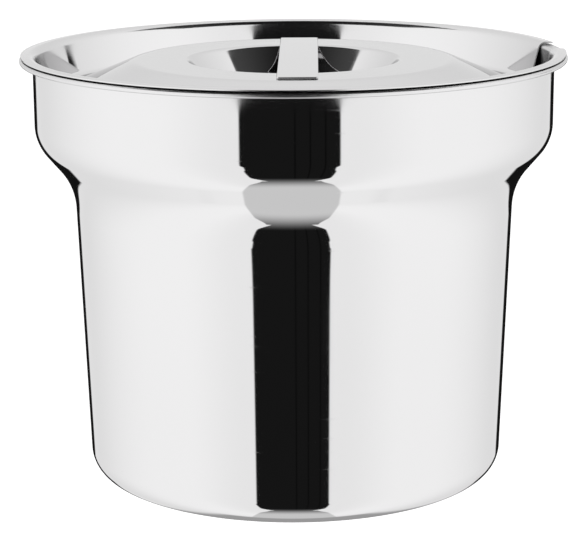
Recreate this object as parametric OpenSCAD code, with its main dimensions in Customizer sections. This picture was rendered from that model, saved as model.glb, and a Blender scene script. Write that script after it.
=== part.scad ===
// Food pot of a soup kettle, with its sunk lid: deep-drawn stainless steel.
// The pot has a wide neck, a shoulder that steps in to a narrower body, and a rolled rim
// that hangs it in the kettle. The pressed lid drops into the mouth and lifts out by a
// flat strap that lies across its finger well. Its edge is notched for a ladle.
// Millimetres, +Z up. The axis is Z and the pot stands on z = 0. The strap runs along Y.

/* [Pot] */
// Outside diameter of the neck, just under the rim
neck_d = 276; // [225:1:340]
// Height from the base to the top of the rim
pot_h = 228; // [190:1:280]
// Thickness of the pot's sheet
pot_sheet = 0.8; // [0.6:0.05:1]
// Depth from the top of the rim to the edge where the shoulder turns in
neck_depth = 43.7; // [36:0.1:53]
// How far the shoulder steps in on each side
shoulder_in = 20.4; // [16:0.1:26]
// Slope of the shoulder, in degrees from vertical
shoulder_angle = 40.3; // [33:0.1:49]
// Radius of the bend from the neck into the shoulder
shoulder_top_r = 22; // [17:0.5:27]
// Radius of the bend from the shoulder into the body
shoulder_foot_r = 37.5; // [28:0.5:45]
// Taper of the neck's wall, in degrees
neck_draft = 0.3; // [0:0.1:2]
// Taper of the body's wall, in degrees
body_draft = 2.2; // [0.5:0.1:4]
// Radius of the bend between the body and the base
base_r = 14.5; // [8:0.5:22]

/* [Rim] */
// How far the rim stands out beyond the neck
rim_overhang = 7; // [5:0.1:10]
// Outside diameter of the rolled bead
bead_d = 2.8; // [2.3:0.05:3.6]
// Radius of the bend from the neck into the rim, on the outer face
rim_bend_r = 1; // [0.5:0.1:1.6]
// How far the bead is rolled round, in degrees
bead_turn = 200; // [150:5:240]

/* [Lid] */
// Thickness of the lid's sheet
lid_sheet = 0.6; // [0.4:0.05:0.9]
// Clearance between the pot's rounded mouth and the lid's bend that nests over it
lid_clear = 0.39; // [0.3:0.01:1.5]
// How far the lid's edge stays inside the edge of the rim
lid_edge_in = 0.7; // [0.2:0.1:2]
// Height of the lid's edge above the rim
lid_gap = 0.75; // [0.6:0.05:1.5]
// Fall of the flange towards its edge, in degrees
flange_fall = 4; // [0:0.5:8]
// Radius of the bend from the flange into the sunk wall
lid_bend_r = 4.4; // [3.6:0.1:5.4]
// Taper of the sunk wall, in degrees
lid_wall_draft = 14; // [8:0.5:20]
// Depth of the channel's floor below the flange
channel_depth = 21.4; // [17:0.1:26]
// Width of the channel's floor
channel_w = 5; // [4:0.1:12]
// Radius of the bends at the channel's floor
channel_r = 3.5; // [2:0.1:4.5]
// Slope of the dome's flank, in degrees from level
flank_angle = 22.3; // [16:0.1:28]
// Radius of the bend from the flank into the dome's flat top
flank_top_r = 14; // [8:0.5:20]
// Depth of the dome's flat top below the flange
top_depth = 4.4; // [3.4:0.1:6]

/* [Finger well] */
// Width of the dome's flat top, from its outer edge to the well's wall
top_w = 29; // [24:0.1:36]
// Depth of the well below the flat top
well_depth = 18.6; // [15:0.1:23]
// Slope of the well's wall, in degrees from vertical
well_draft = 35; // [28:0.5:42]
// Radius of the well's rounded edge
well_edge_r = 3; // [2:0.5:6]
// Radius of the bend into the well's floor
well_floor_r = 12; // [8:0.5:15]

/* [Ladle notch] */
// Direction of the notch, in degrees from +X
notch_angle = 7; // [-180:1:180]
// Width of the notch
notch_w = 27; // [20:0.5:40]
// How far the notch cuts in from the lid's edge
notch_in = 22; // [16:0.5:30]
// Radius of the notch's inner corners
notch_inner_r = 8; // [3:0.5:9]
// Radius of the corners where the notch meets the lid's edge
notch_outer_r = 1.5; // [1:0.5:4]

/* [Strap handle] */
// Width of the strap
strap_w = 21; // [16:0.5:26]
// Thickness of the strap
strap_t = 1.15; // [0.9:0.05:1.5]
// Distance from the edge of the dome's flat top to the strap's end
strap_end_in = 6.2; // [4:0.1:9]
// How far the strap sits to one side of the lid's centre line
strap_shift = 2.6; // [-6:0.1:6]
// Radius of the strap's corners
strap_corner_r = 1.2; // [0.5:0.1:4]

/* [Spot welds] */
// Diameter of one weld nugget
weld_d = 4; // [3:0.5:5]
// Distance from the strap's end to its two welds
weld_end_in = 6; // [4:0.5:8]
// Distance between the two welds at one end
weld_pitch = 11; // [6:0.5:15]
// Share of each sheet's thickness that a nugget reaches into
weld_bite = 0.45; // [0.3:0.05:0.6]

/* [Hidden] */
$fn = 180;

STEEL = [0.80, 0.80, 0.81];
STRAP_STEEL = [0.72, 0.72, 0.74];
WELD_STEEL = [0.55, 0.55, 0.58];

// Pot: corners of its outer face, before they are rounded
neck_r = neck_d / 2;
rim_r = neck_r + rim_overhang;
shoulder_top = [neck_r - neck_depth * tan(neck_draft), pot_h - neck_depth];
shoulder_foot = shoulder_top - [shoulder_in, shoulder_in / tan(shoulder_angle)];
base_edge = [shoulder_foot[0] - shoulder_foot[1] * tan(body_draft), 0];
rim_under = pot_h - pot_sheet;
mouth_bend = [neck_r + rim_bend_r, rim_under - rim_bend_r];
bead_centre = [rim_r - bead_d / 2, pot_h - bead_d / 2];
bead_lead = 0.1;  // short level run that leads the rim into the bead

// Lid: corners of its top face, before they are rounded
lid_edge_r = rim_r - lid_edge_in;
lid_edge_top = pot_h + lid_gap + lid_sheet * cos(flange_fall);
corner_lean = 45 + (lid_wall_draft + flange_fall) / 2;
corner_half = 45 + (lid_wall_draft - flange_fall) / 2;
// The lid's bend nests over the bend in the pot's mouth. The centres of the two bends are
// this far apart, first in all and then square to the flange.
bends_apart = lid_bend_r - lid_sheet - rim_bend_r - pot_sheet - lid_clear;
bends_across = lid_bend_r + (mouth_bend[1] - lid_edge_top) * cos(flange_fall)
    - (lid_edge_r - mouth_bend[0]) * sin(flange_fall);
lid_corner_r = mouth_bend[0] - bends_across * sin(flange_fall)
    + other_side(bends_apart, bends_across) * cos(flange_fall)
    - lid_bend_r * cos(corner_lean) / sin(corner_half);
lid_corner = [lid_corner_r, lid_edge_top + (lid_edge_r - lid_corner_r) * tan(flange_fall)];
// The flange's crest, where its bend is level, lies a little below that corner
crest = lid_corner[1] - lid_bend_r * (sin(corner_lean) / sin(corner_half) - 1);
channel_floor = crest - channel_depth;
top_level = crest - top_depth;
channel_outer = [lid_corner_r - (lid_corner[1] - channel_floor) * tan(lid_wall_draft), channel_floor];
channel_inner = [channel_outer[0] - channel_w, channel_floor];
top_edge_r = channel_inner[0] - (top_level - channel_floor) / tan(flank_angle);
well_edge = [top_edge_r - top_w, top_level];
well_foot = [well_edge[0] - well_depth * tan(well_draft), top_level - well_depth];

// Strap and welds
strap_half = top_edge_r - strap_end_in;
weld_y = strap_half - weld_end_in;

LARGE = 14;   // steps in a large bend
SMALL = 7;    // steps in a small bend
PAST = 5;     // how far a cutter runs past what it cuts

// The other short side of a right triangle. Where the long side is too short for one, it goes
// on evenly below zero.
function other_side(long, short) =
    long > abs(short) ? sqrt(long * long - short * short) : long - abs(short);

// Geometry of bent sheet: outlines are lists of points, in the order they are walked
function unit(v) = v / norm(v);
function arc(centre, r, from, to, steps) =
    [for (i = [0:steps]) let (a = from + (to - from) * i / steps) centre + r * [cos(a), sin(a)]];

// The corner b between a and c, rounded to radius r
function rounded(a, b, c, r, steps) =
    let (u = unit(a - b), v = unit(c - b), half = acos(u * v) / 2,
         centre = b + unit(u + v) * r / sin(half),
         first = b + u * r / tan(half) - centre,
         last = b + v * r / tan(half) - centre,
         from = atan2(first[1], first[0]),
         turn = atan2(last[1], last[0]) - from,
         short = turn > 180 ? turn - 360 : turn < -180 ? turn + 360 : turn)
    arc(centre, r, from, from + short, steps);

// A path through corners given as [[x, y], radius, steps]; the two ends stay sharp
function bent(corners) = [
    corners[0][0],
    for (i = [1:len(corners) - 2])
        each rounded(corners[i - 1][0], corners[i][0], corners[i + 1][0], corners[i][1], corners[i][2]),
    corners[len(corners) - 1][0]
];

function left_of(v) = [-v[1], v[0]];
function side(p, i) = left_of(unit(p[i + 1] - p[i]));
// The path p moved sideways by t, to its left where t is positive
function beside(p, t) = let (last = len(p) - 1) [
    for (i = [0:last])
        let (a = side(p, max(i - 1, 0)), b = side(p, min(i, last - 1)))
        p[i] + t * (a + b) / (1 + a * b)
];
function reversed(p) = [for (i = [len(p) - 1:-1:0]) p[i]];
// The outline of a sheet of thickness t that lies along p
function sheet(p, t) = concat(p, reversed(beside(p, t)));

// Outer face of the pot, from the middle of the base out and up to the end of the bead
function pot_face() = concat(
    bent([
        [[0, 0]],
        [base_edge, base_r, LARGE],
        [shoulder_foot, shoulder_foot_r, LARGE],
        [shoulder_top, shoulder_top_r, LARGE],
        [[neck_r, rim_under], rim_bend_r, SMALL],
        [bead_centre + [-bead_lead, bead_d / 2 - pot_sheet]]
    ]),
    arc(bead_centre, bead_d / 2 - pot_sheet, 90, 90 - bead_turn, LARGE)
);

// Top face of the lid, from the middle of the well out to its edge
function lid_face() = bent([
    [[0, well_foot[1]]],
    [well_foot, well_floor_r, LARGE],
    [well_edge, well_edge_r, SMALL],
    [[top_edge_r, top_level], flank_top_r, SMALL],
    [channel_inner, channel_r, SMALL],
    [channel_outer, channel_r, SMALL],
    [lid_corner, lid_bend_r, LARGE],
    [[lid_edge_r, lid_edge_top]]
]);

// Outline of the notch's cutter: it points along +X and widens where it leaves the edge
function notch_outline() =
    let (x0 = lid_edge_r - notch_in, x1 = lid_edge_r - notch_outer_r, x2 = lid_edge_r + PAST,
         y1 = notch_w / 2, y2 = y1 + notch_outer_r)
    concat(
        [[x2, -y2]],
        arc([x1, -y2], notch_outer_r, 0, 90, SMALL),
        rounded([x1, -y1], [x0, -y1], [x0, y1], notch_inner_r, SMALL),
        rounded([x0, -y1], [x0, y1], [x1, y1], notch_inner_r, SMALL),
        arc([x1, y2], notch_outer_r, -90, 0, SMALL),
        [[x2, y2]]
    );

module notch_cutter() {
    rotate([0, 0, notch_angle])
        translate([0, 0, channel_floor - lid_sheet - PAST])
            linear_extrude(channel_depth + lid_sheet + 2 * PAST)
                polygon(notch_outline());
}

// Nuggets that join the strap to the lid, two at each end. The lid and the strap have pits
// of the same size, so each nugget fills its own.
module welds() {
    for (end = [-1, 1], place = [-0.5, 0.5])
        translate([strap_shift + place * weld_pitch, end * weld_y, top_level - weld_bite * lid_sheet])
            cylinder(h = weld_bite * (lid_sheet + strap_t), d = weld_d, $fn = 32);
}

// Outline of the strap: a rectangle with its corners rounded
function strap_outline() = let (x = strap_w / 2 - strap_corner_r, y = strap_half - strap_corner_r)
    [for (i = [0:3]) each arc([[x, y], [-x, y], [-x, -y], [x, -y]][i],
                              strap_corner_r, 90 * i, 90 * i + 90, SMALL)];

module pot() {
    color(STEEL)
        rotate_extrude()
            polygon(sheet(pot_face(), pot_sheet));
}

module lid() {
    color(STEEL)
        difference() {
            rotate_extrude()
                polygon(sheet(lid_face(), -lid_sheet));
            notch_cutter();
            welds();
        }
}

module lid_handle() {
    color(STRAP_STEEL)
        difference() {
            translate([strap_shift, 0, top_level])
                linear_extrude(strap_t)
                    polygon(strap_outline());
            welds();
        }
}

module handle_spot_welds() {
    color(WELD_STEEL)
        welds();
}

pot();
lid();
lid_handle();
handle_spot_welds();
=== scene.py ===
"""The food pot of a soup kettle with its sunk lid, finished in polished stainless steel.

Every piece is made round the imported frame: the spun pot, the pressed lid with its ladle
notch and the strap handle stand for the plain nodes and ride on their bodies.
"""

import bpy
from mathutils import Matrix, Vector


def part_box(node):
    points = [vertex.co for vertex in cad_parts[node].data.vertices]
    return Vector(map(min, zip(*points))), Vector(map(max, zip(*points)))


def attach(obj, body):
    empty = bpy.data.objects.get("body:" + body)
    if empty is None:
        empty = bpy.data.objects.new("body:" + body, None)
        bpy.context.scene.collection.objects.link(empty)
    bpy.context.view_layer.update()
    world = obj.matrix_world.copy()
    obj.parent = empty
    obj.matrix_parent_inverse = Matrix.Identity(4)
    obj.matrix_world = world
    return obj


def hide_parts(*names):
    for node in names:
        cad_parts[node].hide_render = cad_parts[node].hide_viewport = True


bl_info = {
    "name": "Soup kettle food pot",
    "version": (1, 0, 0),
    "blender": (4, 5, 0),
    "location": "3D View > Sidebar > Food pot",
    "description": "Builds a polished steel food pot, its sunk lid and a studio stage",
    "category": "Object",
}

import math

import bmesh
import bpy
from bpy.props import FloatProperty, FloatVectorProperty, IntProperty, PointerProperty
from mathutils import Matrix, Vector

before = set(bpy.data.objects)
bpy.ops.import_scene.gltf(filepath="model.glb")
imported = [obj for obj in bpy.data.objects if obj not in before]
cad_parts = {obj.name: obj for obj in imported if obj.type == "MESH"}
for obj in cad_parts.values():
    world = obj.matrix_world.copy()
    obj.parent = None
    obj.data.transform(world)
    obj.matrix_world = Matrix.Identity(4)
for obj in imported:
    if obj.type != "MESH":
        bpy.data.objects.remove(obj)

MM = 0.001
PANEL = "Food pot"
POT_LOW, POT_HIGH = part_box("pot")
LID_LOW, LID_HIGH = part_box("lid")
STRAP_LOW, STRAP_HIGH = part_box("lid_handle")
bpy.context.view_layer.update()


# ---------------------------------------------------------------- sizes and looks

def length(name, description, millimetres):
    """A length that a user can change, given here in millimetres."""
    return FloatProperty(name=name, description=description, default=millimetres * MM,
                         unit="LENGTH", precision=5)


def slope(name, description, degrees):
    """An angle that a user can change, given here in degrees."""
    return FloatProperty(name=name, description=description, default=math.radians(degrees),
                         unit="ROTATION")


def share(name, description, value):
    """A share from 0 to 1."""
    return FloatProperty(name=name, description=description, default=value, min=0, max=1,
                         subtype="FACTOR")


def tint(name, description, colour):
    """A linear colour."""
    return FloatVectorProperty(name=name, description=description, default=colour, size=3,
                               min=0, max=1, subtype="COLOR")


class PotSizes(bpy.types.PropertyGroup):
    """Sizes of the drawn pot."""
    rim_radius: length("Rim radius", "From the axis to the outside of the bead", POT_HIGH.x / MM)
    height: length("Height", "From the base to the top of the rim", POT_HIGH.z / MM)
    sheet: length("Sheet", "Thickness of the pot's sheet", 0.8)
    rim_overhang: length("Rim overhang", "How far the rim stands out beyond the neck", 7)
    neck_depth: length("Neck depth", "From the rim down to the edge of the shoulder", 43.7)
    neck_draft: slope("Neck draft", "Taper of the neck's wall", 0.3)
    shoulder_in: length("Shoulder step", "How far the shoulder steps in", 20.4)
    shoulder_angle: slope("Shoulder slope", "Slope of the shoulder from vertical", 40.3)
    shoulder_top_r: length("Shoulder top radius", "Bend from the neck into the shoulder", 22)
    shoulder_foot_r: length("Shoulder foot radius", "Bend from the shoulder into the body", 37.5)
    body_draft: slope("Body draft", "Taper of the body's wall", 2.2)
    base_r: length("Base radius", "Bend between the body and the base", 14.5)
    rim_bend_r: length("Rim bend radius", "Bend from the neck into the rim", 1)
    bead_d: length("Bead diameter", "Outside diameter of the rolled bead", 2.8)
    bead_turn: slope("Bead roll", "How far the bead is rolled round", 200)
    base_dish: length("Base dish", "How far the middle of the base is pushed up", 0.6)


class LidSizes(bpy.types.PropertyGroup):
    """Sizes of the pressed lid."""
    edge_radius: length("Edge radius", "From the axis to the lid's edge", -LID_LOW.x / MM)
    sheet: length("Sheet", "Thickness of the lid's sheet", 0.6)
    edge_top: length("Edge height", "Top of the lid's edge above the base", 229.3485)
    corner_radius: length("Corner radius", "Where the flange and the sunk wall meet", 136.9)
    flange_fall: slope("Flange fall", "Fall of the flange towards its edge", 4)
    bend_r: length("Bend radius", "Bend from the flange into the sunk wall", 4.4)
    wall_draft: slope("Wall draft", "Taper of the sunk wall", 14)
    channel_depth: length("Channel depth", "Channel floor below the flange", 21.4)
    channel_w: length("Channel width", "Width of the channel's floor", 5)
    channel_r: length("Channel bends", "Bends at the channel's floor", 3.5)
    flank_angle: slope("Flank slope", "Slope of the dome's flank from level", 22.3)
    flank_top_r: length("Flank top radius", "Bend from the flank into the flat top", 14)
    top_depth: length("Top depth", "Flat top below the flange", 4.4)
    top_w: length("Top width", "Width of the flat ring round the well", 29)
    well_depth: length("Well depth", "Depth of the finger well", 18.6)
    well_draft: slope("Well slope", "Slope of the well's wall from vertical", 35)
    well_edge_r: length("Well edge radius", "Rounded edge of the well", 3)
    well_floor_r: length("Well floor radius", "Bend into the well's floor", 12)
    notch_angle: slope("Notch direction", "Direction of the ladle notch from +X", 7)
    notch_w: length("Notch width", "Width of the ladle notch", 27)
    notch_in: length("Notch depth", "How far the notch cuts in", 22)
    notch_inner_r: length("Notch inner corners", "Radius of the inner corners", 8)
    notch_outer_r: length("Notch outer corners", "Radius of the outer corners", 1.5)


class StrapSizes(bpy.types.PropertyGroup):
    """Sizes of the strap handle; its place comes from its node."""
    corner_r: length("Corner radius", "Radius of the strap's corners", 1.2)
    edge_r: length("Edge radius", "Radius of the strap's broken edges", 0.28)


class SteelLook(bpy.types.PropertyGroup):
    """Finish of the steel."""
    colour: tint("Steel", "Colour of the polished steel", (0.62, 0.617, 0.62))
    polish: share("Polish", "Roughness of the polished faces", 0.03)
    satin: share("Satin", "Roughness of the faces inside the pot", 0.26)
    grain: share("Grain", "Strength of the polishing lines", 0.10)


class StageSettings(bpy.types.PropertyGroup):
    """Camera, floor and light."""
    lens: FloatProperty(name="Lens", description="Focal length in millimetres", default=142.39)
    distance: length("Camera distance", "From the middle of the rim to the camera", 1241.255)
    aim_height: length("Rim height", "Height of the point that the camera is placed from", 226.6)
    rise: slope("Camera rise", "How far above the rim the camera stands", 7.58)
    turn: slope("Camera turn", "How far the camera stands to the right", 0.554)
    pitch: slope("Camera pitch", "How far the camera looks down", 12.908)
    pan: slope("Camera pan", "How far the camera looks to the left", 0.569)
    roll: slope("Camera roll", "Lean of the camera", -0.32)
    floor_tone: share("Floor", "Brightness of the floor", 0.95)
    floor_glow: share("Floor glow", "Light that the floor gives by itself", 0.8)
    white: FloatProperty(name="White", description="Brightness of the white tent", default=1.40)
    fill: FloatProperty(name="Fill", description="Brightness of the light on the floor", default=0.4)


# ---------------------------------------------------------------- node trees

class Socket:
    """An output of a node. Sums and products of sockets add Math nodes to their tree."""

    def __init__(self, graph, socket):
        self.graph = graph
        self.socket = socket

    def maths(self, operation, *terms):
        settings = {"operation": operation}
        return self.graph.node("ShaderNodeMath", settings, dict(enumerate(terms)))

    def __add__(self, other):
        return self.maths("ADD", self, other)

    def __sub__(self, other):
        return self.maths("SUBTRACT", self, other)

    def __mul__(self, other):
        return self.maths("MULTIPLY", self, other)

    def __truediv__(self, other):
        return self.maths("DIVIDE", self, other)

    def __mod__(self, other):
        return self.maths("MODULO", self, other)

    def __rsub__(self, other):
        return self.maths("SUBTRACT", other, self)

    def __lt__(self, other):
        return self.maths("LESS_THAN", self, other)

    def __gt__(self, other):
        return self.maths("GREATER_THAN", self, other)

    __radd__ = __add__
    __rmul__ = __mul__

    def of(self, operation):
        """A function of one value, such as SINE or SQRT."""
        return self.maths(operation, self)

    def least(self, other):
        return self.maths("MINIMUM", self, other)

    def most(self, other):
        return self.maths("MAXIMUM", self, other)

    def step(self, low, high, to_low=0.0, to_high=1.0):
        """A smooth step from to_low at low to to_high at high."""
        return self.graph.node("ShaderNodeMapRange", {"interpolation_type": "SMOOTHSTEP"},
                               {"Value": self, "From Min": low, "From Max": high,
                                "To Min": to_low, "To Max": to_high})


class Graph:
    """A node tree that is written as formulas."""

    def __init__(self, tree):
        self.tree = tree
        tree.nodes.clear()

    def node(self, kind, settings=None, sockets=None, out=0):
        """Adds a node: its settings come first, then its sockets' values and links."""
        made = self.tree.nodes.new(kind)
        for name, value in (settings or {}).items():
            setattr(made, name, value)
        for name, value in (sockets or {}).items():
            if isinstance(value, Socket):
                self.tree.links.new(value.socket, made.inputs[name])
            else:
                made.inputs[name].default_value = value
        return Socket(self, made.outputs[out]) if made.outputs else None

    def parts(self, vector):
        """The three parts of a vector."""
        split = self.node("ShaderNodeSeparateXYZ", None, {0: vector}).socket.node
        return [Socket(self, output) for output in split.outputs]

    def vector(self, x, y, z):
        return self.node("ShaderNodeCombineXYZ", None, {0: x, 1: y, 2: z})

    def noise(self, vector, scale, detail=2.0, rough=0.5):
        """Smooth noise from 0 to 1."""
        return self.node("ShaderNodeTexNoise", None,
                         {"Vector": vector, "Scale": scale, "Detail": detail, "Roughness": rough})

    def blend(self, share_of_b, a, b):
        """Colour a turning into colour b."""
        mixed = self.node("ShaderNodeMix", {"data_type": "RGBA"}, {0: share_of_b, 6: a, 7: b})
        return Socket(self, mixed.socket.node.outputs[2])


# ---------------------------------------------------------------- bent sheet outlines

def arc(centre, radius, start, turn, steps):
    """Points along an arc that starts at the angle start and turns by turn."""
    angles = [start + turn * i / steps for i in range(steps + 1)]
    return [centre + radius * Vector((math.cos(a), math.sin(a))) for a in angles]


def rounded(before, corner, after, radius, step=math.radians(3), support=0.6 * MM):
    """The corner rounded to a radius, with a point close to each end to hold its shading."""
    u, v = (before - corner).normalized(), (after - corner).normalized()
    half = math.acos(max(-1.0, min(1.0, u.dot(v)))) / 2
    centre = corner + (u + v).normalized() * radius / math.sin(half)
    first, last = corner + u * radius / math.tan(half), corner + v * radius / math.tan(half)
    start = math.atan2(*(first - centre).yx)
    turn = math.remainder(math.atan2(*(last - centre).yx) - start, math.tau)
    steps = max(3, math.ceil(abs(turn) / step))
    return [first + u * support, *arc(centre, radius, start, turn, steps), last + v * support]


def bent(corners):
    """A path through corners given as (point, radius); its two ends stay sharp."""
    points = [Vector(point) for point, radius in corners]
    path = [points[0]]
    for before, (corner, radius), after in zip(points, corners[1:-1], points[2:]):
        path += rounded(before, Vector(corner), after, radius)
    return path + [points[-1]]


def beside(path, distance):
    """The path moved to its left by a distance."""
    sides = [(b - a).normalized() for a, b in zip(path, path[1:])]
    moved = []
    for i, point in enumerate(path):
        a, b = sides[max(i - 1, 0)], sides[min(i, len(sides) - 1)]
        left = Vector((-a.y - b.y, a.x + b.x)) / (1 + a.dot(b))
        moved.append(point + distance * left)
    return moved


def pot_face(s):
    """Outer face of the pot, from the middle of the base up to the end of the bead."""
    neck = s.rim_radius - s.rim_overhang
    shoulder = Vector((neck - s.neck_depth * math.tan(s.neck_draft), s.height - s.neck_depth))
    foot = shoulder - Vector((s.shoulder_in, s.shoulder_in / math.tan(s.shoulder_angle)))
    base = foot.x - foot.y * math.tan(s.body_draft)
    bead = Vector((s.rim_radius - s.bead_d / 2, s.height - s.bead_d / 2))
    bead_r = s.bead_d / 2 - s.sheet
    ring = base - s.base_r
    path = bent([
        ((0, s.base_dish), 0),
        ((ring - 9 * MM, s.base_dish), 8 * MM),
        ((ring - 3 * MM, 0), 5 * MM),
        ((base, 0), s.base_r),
        (foot, s.shoulder_foot_r),
        (shoulder, s.shoulder_top_r),
        ((neck, s.height - s.sheet), s.rim_bend_r),
        (bead + Vector((-0.3 * MM, bead_r)), 0),
    ])
    return path + arc(bead, bead_r, math.pi / 2, -s.bead_turn, 30)


def lid_face(s):
    """Top face of the lid, from the middle of the well out to its edge."""
    corner = Vector((s.corner_radius, s.edge_top
                     + (s.edge_radius - s.corner_radius) * math.tan(s.flange_fall)))
    lean = (s.wall_draft + s.flange_fall) / 2
    drop = math.sin(math.pi / 4 + lean) / math.sin(math.pi / 4 + lean - s.flange_fall) - 1
    crest = corner.y - s.bend_r * drop
    floor, top = crest - s.channel_depth, crest - s.top_depth
    outer = corner.x - (corner.y - floor) * math.tan(s.wall_draft)
    inner = outer - s.channel_w
    flank = inner - (top - floor) / math.tan(s.flank_angle)
    well = flank - s.top_w
    foot = well - s.well_depth * math.tan(s.well_draft)
    return bent([
        ((0, top - s.well_depth), 0),
        ((foot, top - s.well_depth), s.well_floor_r),
        ((well, top), s.well_edge_r),
        ((flank, top), s.flank_top_r),
        ((inner, floor), s.channel_r),
        ((outer, floor), s.channel_r),
        (corner, s.bend_r),
        ((s.edge_radius, s.edge_top), 0),
    ])


def notch_outline(s):
    """Outline of the ladle notch, pointing along +X and widening where it leaves the edge."""
    inner, mouth = s.edge_radius - s.notch_in, s.edge_radius - s.notch_outer_r
    past = s.edge_radius + 5 * MM
    half = s.notch_w / 2
    wide = half + s.notch_outer_r
    fine = {"step": math.radians(9), "support": 0.3 * MM}
    quarter = math.pi / 2
    return [
        Vector((past, -wide)),
        *arc(Vector((mouth, -wide)), s.notch_outer_r, 0, quarter, 10),
        *rounded(Vector((mouth, -half)), Vector((inner, -half)), Vector((inner, half)),
                 s.notch_inner_r, **fine),
        *rounded(Vector((inner, -half)), Vector((inner, half)), Vector((mouth, half)),
                 s.notch_inner_r, **fine),
        *arc(Vector((mouth, wide)), s.notch_outer_r, -quarter, quarter, 10),
        Vector((past, wide)),
    ]


# ---------------------------------------------------------------- meshes

def object_of(name, mesh):
    made = bpy.data.objects.new(name, mesh)
    bpy.context.scene.collection.objects.link(made)
    return made


def outline_object(name, front, back):
    """A line of points in the XZ plane: the front of a sheet and then its back."""
    mesh = bpy.data.meshes.new(name)
    points = [*front, *reversed(back)]
    mesh.from_pydata([(p.x, 0, p.y) for p in points],
                     [(i, i + 1) for i in range(len(points) - 1)], [])
    side = mesh.attributes.new("back_side", "FLOAT", "POINT")
    side.data.foreach_set("value", [0.0] * len(front) + [1.0] * len(back))
    return object_of(name, mesh)


def spin_tree():
    """Geometry nodes that spin an outline round the Z axis into a closed sheet."""
    tree = bpy.data.node_groups.new("Spun sheet", "GeometryNodeTree")
    for name, way, kind in (("Outline", "INPUT", "NodeSocketGeometry"),
                            ("Segments", "INPUT", "NodeSocketInt"),
                            ("Weld distance", "INPUT", "NodeSocketFloat"),
                            ("Steel", "INPUT", "NodeSocketMaterial"),
                            ("Sheet", "OUTPUT", "NodeSocketGeometry")):
        tree.interface.new_socket(name=name, in_out=way, socket_type=kind)
    graph = Graph(tree)
    inputs = graph.node("NodeGroupInput").socket.node.outputs
    outline, segments, weld, steel = [Socket(graph, inputs[i]) for i in range(4)]
    count = graph.node("GeometryNodeAttributeDomainSize", {"component": "MESH"}, {0: outline})
    across = segments + 1
    grid = graph.node("GeometryNodeMeshGrid", None,
                      {"Vertices X": count, "Vertices Y": across})
    index = graph.node("GeometryNodeInputIndex")
    ring = (index / across).of("FLOOR")
    angle = (index % across) * math.tau / segments
    point = graph.node("GeometryNodeSampleIndex", {"data_type": "FLOAT_VECTOR"},
                       {"Geometry": outline, "Value": graph.node("GeometryNodeInputPosition"),
                        "Index": ring})
    radius, _, height = graph.parts(point)
    place = graph.vector(radius * angle.of("COSINE"), radius * angle.of("SINE"), height)
    spun = graph.node("GeometryNodeSetPosition", None, {"Geometry": grid, "Position": place})
    side = graph.node("GeometryNodeInputNamedAttribute", {"data_type": "FLOAT"},
                      {"Name": "back_side"})
    side_there = graph.node("GeometryNodeSampleIndex", {"data_type": "FLOAT"},
                            {"Geometry": outline, "Value": side, "Index": ring})
    stored = graph.node("GeometryNodeStoreNamedAttribute", {"data_type": "FLOAT"},
                        {"Geometry": spun, "Name": "back_side", "Value": side_there})
    closed = graph.node("GeometryNodeMergeByDistance", None,
                        {"Geometry": stored, "Distance": weld})
    real = graph.node("GeometryNodeRealizeInstances", None, {"Geometry": closed})
    smooth = graph.node("GeometryNodeSetShadeSmooth", None, {"Geometry": real})
    dressed = graph.node("GeometryNodeSetMaterial", None, {"Geometry": smooth, "Material": steel})
    graph.node("NodeGroupOutput", None, {0: dressed})
    return tree


def settle(made, name):
    """The evaluated object as a plain mesh object; the source and its modifiers go."""
    mesh = bpy.data.meshes.new_from_object(
        made.evaluated_get(bpy.context.evaluated_depsgraph_get()))
    bpy.data.objects.remove(made)
    mesh.name = name
    return object_of(name, mesh)


def spun(name, front, back, material, segments=240):
    """A sheet spun round the Z axis from its front and back outlines."""
    made = outline_object(name + "_outline", front, back)
    modifier = made.modifiers.new("Spun sheet", "NODES")
    tree = bpy.data.node_groups.get("Spun sheet") or spin_tree()
    modifier.node_group = tree
    values = {"Segments": segments, "Weld distance": 0.002 * MM, "Steel": material}
    for item in tree.interface.items_tree:
        if item.in_out == "INPUT" and item.name in values:
            modifier[item.identifier] = values[item.name]
    return settle(made, name)


def finish_mesh(made, sharp=math.radians(32), flat_across=False):
    """Merges doubles, turns the faces outwards and splits the shading at sharp edges.

    With flat_across, level faces are shaded flat, so that a big face stays even.
    """
    bm = bmesh.new()
    bm.from_mesh(made.data)
    bmesh.ops.remove_doubles(bm, verts=bm.verts, dist=0.002 * MM)
    bmesh.ops.dissolve_degenerate(bm, edges=bm.edges, dist=0.001 * MM)
    bmesh.ops.recalc_face_normals(bm, faces=bm.faces)
    for edge in bm.edges:
        edge.smooth = len(edge.link_faces) == 2 and edge.calc_face_angle(0) < sharp
    for face in bm.faces:
        face.smooth = not (flat_across and abs(face.normal.z) > 0.999)
    bm.to_mesh(made.data)
    bm.free()


def prism(name, outline, low, high):
    """A closed prism over an outline that runs anticlockwise."""
    bm = bmesh.new()
    bottom = bm.faces.new([bm.verts.new((p.x, p.y, low)) for p in outline])
    raised = bmesh.ops.extrude_face_region(bm, geom=[bottom])
    top = [item for item in raised["geom"] if isinstance(item, bmesh.types.BMVert)]
    bmesh.ops.translate(bm, verts=top, vec=(0, 0, high - low))
    bmesh.ops.recalc_face_normals(bm, faces=bm.faces)
    mesh = bpy.data.meshes.new(name)
    bm.to_mesh(mesh)
    bm.free()
    return object_of(name, mesh)


def cut(made, cutter):
    """Takes the cutter out of the piece."""
    modifier = made.modifiers.new("Notch", "BOOLEAN")
    modifier.operation = "DIFFERENCE"
    modifier.solver = "EXACT"
    modifier.object = cutter
    name = made.name
    result = settle(made, name)
    bpy.data.objects.remove(cutter)
    return result


# ---------------------------------------------------------------- materials

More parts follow.
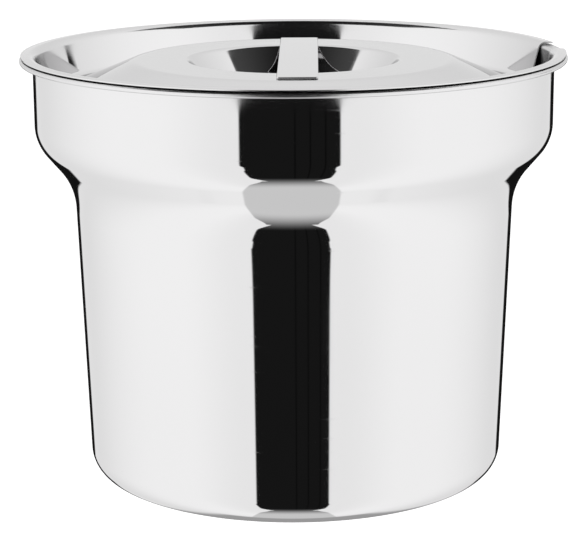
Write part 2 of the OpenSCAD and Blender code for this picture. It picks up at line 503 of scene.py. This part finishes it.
def steel_material(name, look, edge_height, welds=()):
    """Polished sheet: ringed polishing lines, hairline scratches, wipe marks and a satin back.

    The finish is duller near edge_height, where the polishing wheel doesn't reach.
    """
    made = bpy.data.materials.new(name)
    made.use_nodes = True
    graph = Graph(made.node_tree)
    place = graph.node("ShaderNodeTexCoord", None, None, 3)
    x, y, z = graph.parts(place)
    radius = (x * x + y * y).of("SQRT")
    along = z + radius * 1.7
    back = graph.node("ShaderNodeAttribute", {"attribute_name": "back_side"}, None, 2)

    rings = graph.noise(graph.vector(x * 4, y * 4, along * 1600), 1.0, 3.0, 0.6)
    coarse_rings = graph.noise(graph.vector(x * 2, y * 2, along * 260), 1.0, 2.0, 0.5)
    wipes = graph.noise(place, 14.0, 3.0, 0.55)
    cloud = graph.noise(place, 5.0, 2.0, 0.5)
    speck = graph.noise(place, 2600.0, 2.0, 0.6)
    hair = graph.noise(graph.vector(x * 30 + y * 18, z * 900 + x * 40, y * 25 - z * 60), 1.0, 1.0)
    scratch = hair.step(0.70, 0.74)
    near_edge = (z - edge_height).of("ABSOLUTE").step(0.0, 0.014, 1.0, 0.0)

    rough = (look.polish + wipes.step(0.45, 0.75) * 0.018 + (rings - 0.5) * 0.016
             + scratch * 0.05 + near_edge * (0.05 + speck * 0.12))
    inside = look.satin + (rings - 0.5) * 0.12 + (cloud - 0.5) * 0.06
    rough = rough + (inside - rough) * back
    bright = graph.blend(cloud.step(0.3, 0.7), (*look.colour, 1),
                         (*[c * 0.975 for c in look.colour], 1))
    if welds:
        bright, rough = weld_marks(graph, (x, y, z), welds, bright, rough)

    lines = rings * 0.6 + coarse_rings * 0.4 + scratch * -0.25 + speck * near_edge * 0.8
    lines = lines + rings * back * 2.0
    bump = graph.node("ShaderNodeBump", None,
                      {"Strength": look.grain, "Distance": 0.00002, "Height": lines})
    shader = graph.node("ShaderNodeBsdfPrincipled", None,
                        {"Metallic": 1.0, "Base Color": bright, "Roughness": rough,
                         "Specular Tint": (0.8, 0.8, 0.8, 1), "Normal": bump})
    graph.node("ShaderNodeOutputMaterial", None, {"Surface": shader})
    return made


def weld_marks(graph, point, welds, bright, rough):
    """Straw and blue heat rings round the welds, on the underside of the sheet."""
    x, y, z = point
    nearest = None
    for place in welds:
        away = ((x - place.x) * (x - place.x) + (y - place.y) * (y - place.y)).of("SQRT")
        nearest = away if nearest is None else nearest.least(away)
    under = z < welds[0].z
    dent = nearest.step(0.0015, 0.0024, 1.0, 0.0) * under
    straw = nearest.step(0.0020, 0.0062, 1.0, 0.0) * under
    blue = nearest.step(0.0018, 0.0032, 1.0, 0.0) * under
    bright = graph.blend(straw * 0.6, bright, (0.62, 0.50, 0.34, 1))
    bright = graph.blend(blue * 0.5, bright, (0.32, 0.35, 0.46, 1))
    return bright, rough + dent * 0.25


def floor_material(tone, glow):
    made = bpy.data.materials.new("pale_floor")
    made.use_nodes = True
    graph = Graph(made.node_tree)
    place = graph.node("ShaderNodeTexCoord", None, None, 3)
    mottle = graph.noise(place, 3.0)
    colour = graph.blend(mottle, (tone, tone, tone, 1), (tone * 0.99, tone * 0.99, tone * 0.99, 1))
    shader = graph.node("ShaderNodeBsdfPrincipled", None,
                        {"Base Color": colour, "Roughness": 0.8, "Emission Color": (1, 1, 1, 1),
                         "Emission Strength": glow})
    graph.node("ShaderNodeOutputMaterial", None, {"Surface": shader})
    return made


# ---------------------------------------------------------------- operators

class FOODPOT_OT_pot(bpy.types.Operator):
    """Spins the pot and gives it its polished steel"""
    bl_idname = "foodpot.pot"
    bl_label = "Make the pot"

    def execute(self, context):
        sizes, look = context.scene.food_pot, context.scene.food_pot_steel
        steel = steel_material("polished_pot_steel", look, sizes.height)
        face = pot_face(sizes)
        made = spun("food_pot", face, beside(face, sizes.sheet), steel)
        finish_mesh(made)
        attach(made, "pot")
        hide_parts("pot")
        return {"FINISHED"}


class FOODPOT_OT_lid(bpy.types.Operator):
    """Spins the lid, cuts its ladle notch and gives it its polished steel"""
    bl_idname = "foodpot.lid"
    bl_label = "Make the lid"

    def execute(self, context):
        sizes, look = context.scene.food_lid, context.scene.food_pot_steel
        low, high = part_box("handle_spot_welds")
        welds = [Vector((x, y, low.z + 0.0001)) for x in (low.x + 0.002, high.x - 0.002)
                 for y in (low.y + 0.002, high.y - 0.002)]
        steel = steel_material("polished_lid_steel", look, sizes.edge_top, welds)
        face = lid_face(sizes)
        made = spun("sunk_lid", face, beside(face, -sizes.sheet), steel)
        finish_mesh(made)
        cutter = prism("notch_cutter", notch_outline(sizes), LID_LOW.z - 0.005, LID_HIGH.z + 0.005)
        cutter.data.transform(Matrix.Rotation(sizes.notch_angle, 4, "Z"))
        made = cut(made, cutter)
        finish_mesh(made)
        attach(made, "lid")
        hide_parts("lid")
        return {"FINISHED"}


class FOODPOT_OT_strap(bpy.types.Operator):
    """Makes the strap handle with its broken edges, and finishes the welds under it"""
    bl_idname = "foodpot.strap"
    bl_label = "Make the strap"

    def execute(self, context):
        sizes, look = context.scene.food_strap, context.scene.food_pot_steel
        low, high = STRAP_LOW, STRAP_HIGH
        r = sizes.corner_r
        corners = [Vector((high.x - r, high.y - r)), Vector((low.x + r, high.y - r)),
                   Vector((low.x + r, low.y + r)), Vector((high.x - r, low.y + r))]
        outline = [p for i, c in enumerate(corners)
                   for p in arc(c, r, i * math.pi / 2, math.pi / 2, 8)]
        made = prism("strap_handle", outline, low.z, high.z)
        bevel = made.modifiers.new("Broken edges", "BEVEL")
        bevel.width = sizes.edge_r
        bevel.segments = 4
        bevel.limit_method = "ANGLE"
        bevel.angle_limit = math.radians(50)
        bevel.harden_normals = True
        made = settle(made, "strap_handle")
        made.data.materials.append(steel_material("strap_steel", look, high.z + 1))
        finish_mesh(made, flat_across=True)
        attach(made, "lid")
        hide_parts("lid_handle")
        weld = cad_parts["handle_spot_welds"]
        weld.data.materials.clear()
        weld.data.materials.append(steel_material("fused_steel", look, high.z))
        return {"FINISHED"}


class FOODPOT_OT_stage(bpy.types.Operator):
    """Sets the camera, the pale floor and the soft light"""
    bl_idname = "foodpot.stage"
    bl_label = "Set the stage"

    def execute(self, context):
        settings = context.scene.food_stage
        camera_for(context.scene, settings)
        bm = bmesh.new()
        bmesh.ops.create_grid(bm, x_segments=8, y_segments=8, size=30)
        mesh = bpy.data.meshes.new("pale_floor")
        bm.to_mesh(mesh)
        bm.free()
        floor = object_of("pale_floor", mesh)
        floor.data.materials.append(floor_material(settings.floor_tone, settings.floor_glow))
        floor.visible_glossy = False
        tent(context.scene, settings)
        context.scene.view_settings.view_transform = "Standard"
        return {"FINISHED"}


def camera_for(scene, settings):
    """The camera, placed from the middle of the rim."""
    data = bpy.data.cameras.new("camera")
    data.lens = settings.lens
    data.sensor_width = 36
    data.clip_start = 0.05
    camera = bpy.data.objects.new("camera", data)
    scene.collection.objects.link(camera)
    turn = Matrix.Rotation(settings.turn, 4, "Z")
    level, rise = math.cos(settings.rise), math.sin(settings.rise)
    place = turn @ Vector((0, -settings.distance * level, settings.distance * rise))
    camera.matrix_world = (
        Matrix.Translation(place + Vector((0, 0, settings.aim_height)))
        @ Matrix.Rotation(settings.pan, 4, "Z")
        @ Matrix.Rotation(math.pi / 2 - settings.pitch, 4, "X")
        @ Matrix.Rotation(settings.roll, 4, "Z"))
    scene.camera = camera


def tent(scene, settings):
    """A white light tent. It is open in front, where a dark slot runs down to a grey mat,
    and dark low behind and overhead. It shows in the steel only: the floor and the
    background see plain white.
    """
    world = bpy.data.worlds.new("light_tent")
    scene.world = world
    world.use_nodes = True
    graph = Graph(world.node_tree)
    way = graph.node("ShaderNodeTexCoord", None, None, 0)
    x, y, z = graph.parts(way)
    degrees = 180 / math.pi
    rise = z.of("ARCSINE") * degrees
    bearing = x.maths("ARCTAN2", x, y * -1) * degrees
    off_front = bearing.of("ABSOLUTE")

    level = settings.white * (1 - off_front.step(25, 62, 0.085, 0.0) - off_front.step(80, 150) * 0.12
                              - rise.step(-7, 3) * off_front.step(60, 120) * 0.08)
    slot = (bearing + 1.2).of("ABSOLUTE")
    narrow = rise.step(-18, -14, 1.0, 0.0) - rise.step(-28, -24, 0.5, 0.0)
    slot_half = 21.6 - narrow * 1.5 - rise.step(-58, -44, 9.0, 0.0)
    slot = (slot - slot_half).step(-0.5, 0.5, 1.0, 0.0) * rise.step(58, 66, 1.0, 0.0)
    mat_half = 0.20 - y * 0.12 - rise.step(-66, -54, 0.0, 0.05)
    mat = ((x / z - 0.01).of("ABSOLUTE") - mat_half).step(-0.006, 0.006, 1.0, 0.0) * (z < 0)
    low = rise.step(-54.5, -53.5, 1.0, 0.0)
    open_front = slot + (mat - slot) * low
    seams = (((bearing + 2) % 6.5) - 3).of("ABSOLUTE").step(0.1, 0.5, 0.005, 0.012)
    depth = seams + rise.step(-76, -44, 0.90, 0.0)
    level = level + (depth - level) * open_front
    under = (x / z).of("ABSOLUTE").step(0.25, 0.40, 1.0, 0.0) * y.step(0.12, 0.24) * (z < -0.5)
    level = level + (0.54 - level) * under
    post = ((bearing - 128).of("ABSOLUTE").step(3.0, 3.6, 1.0, 0.0)
            * (rise - 1).of("ABSOLUTE").step(5.0, 6.0, 1.0, 0.0))
    level = level + (0.02 - level) * post

    back_gap = off_front.step(155, 157) * rise.step(-31, -29) * rise.step(-8, -6, 1.0, 0.0)
    over = z.maths("ARCTAN2", z, y) * degrees
    ceiling = (over.step(77, 80) * over.step(133, 136, 1.0, 0.0)
               * x.of("ABSOLUTE").step(0.72, 0.77, 1.0, 0.0))
    shade = 0.01 + x * x * ceiling * 0.14
    level = level + (shade - level) * back_gap.most(ceiling)

    seen = graph.node("ShaderNodeLightPath", None, None, 0)
    in_steel = graph.node("ShaderNodeLightPath", None, None, 3)
    plain = settings.fill + (1.0 - settings.fill) * seen
    level = plain + (level - plain) * in_steel
    light = graph.node("ShaderNodeBackground", None,
                       {"Color": graph.vector(level, level, level), "Strength": 1.0})
    graph.node("ShaderNodeOutputWorld", None, {"Surface": light})


class FOODPOT_PT_sidebar(bpy.types.Panel):
    """The pieces of the food pot, in the order they are made"""
    bl_idname = "FOODPOT_PT_sidebar"
    bl_label = PANEL
    bl_category = PANEL
    bl_space_type = "VIEW_3D"
    bl_region_type = "UI"

    def draw(self, context):
        for operator in OPERATORS:
            self.layout.operator(operator.bl_idname)
        for name in GROUPS:
            group = getattr(context.scene, name)
            box = self.layout.box()
            for key in group.bl_rna.properties.keys():
                if key not in ("rna_type", "name"):
                    box.prop(group, key)


OPERATORS = (FOODPOT_OT_stage, FOODPOT_OT_pot, FOODPOT_OT_lid, FOODPOT_OT_strap)
GROUPS = {"food_pot": PotSizes, "food_lid": LidSizes, "food_strap": StrapSizes,
          "food_pot_steel": SteelLook, "food_stage": StageSettings}
CLASSES = (*GROUPS.values(), *OPERATORS, FOODPOT_PT_sidebar)


def register():
    for cls in CLASSES:
        bpy.utils.register_class(cls)
    for name, group in GROUPS.items():
        setattr(bpy.types.Scene, name, PointerProperty(type=group))


def unregister():
    for name in GROUPS:
        delattr(bpy.types.Scene, name)
    for cls in reversed(CLASSES):
        bpy.utils.unregister_class(cls)


def main():
    """Makes every piece."""
    register()
    bpy.ops.foodpot.stage()
    bpy.ops.foodpot.pot()
    bpy.ops.foodpot.lid()
    bpy.ops.foodpot.strap()


if __name__ == "__main__":
    main()
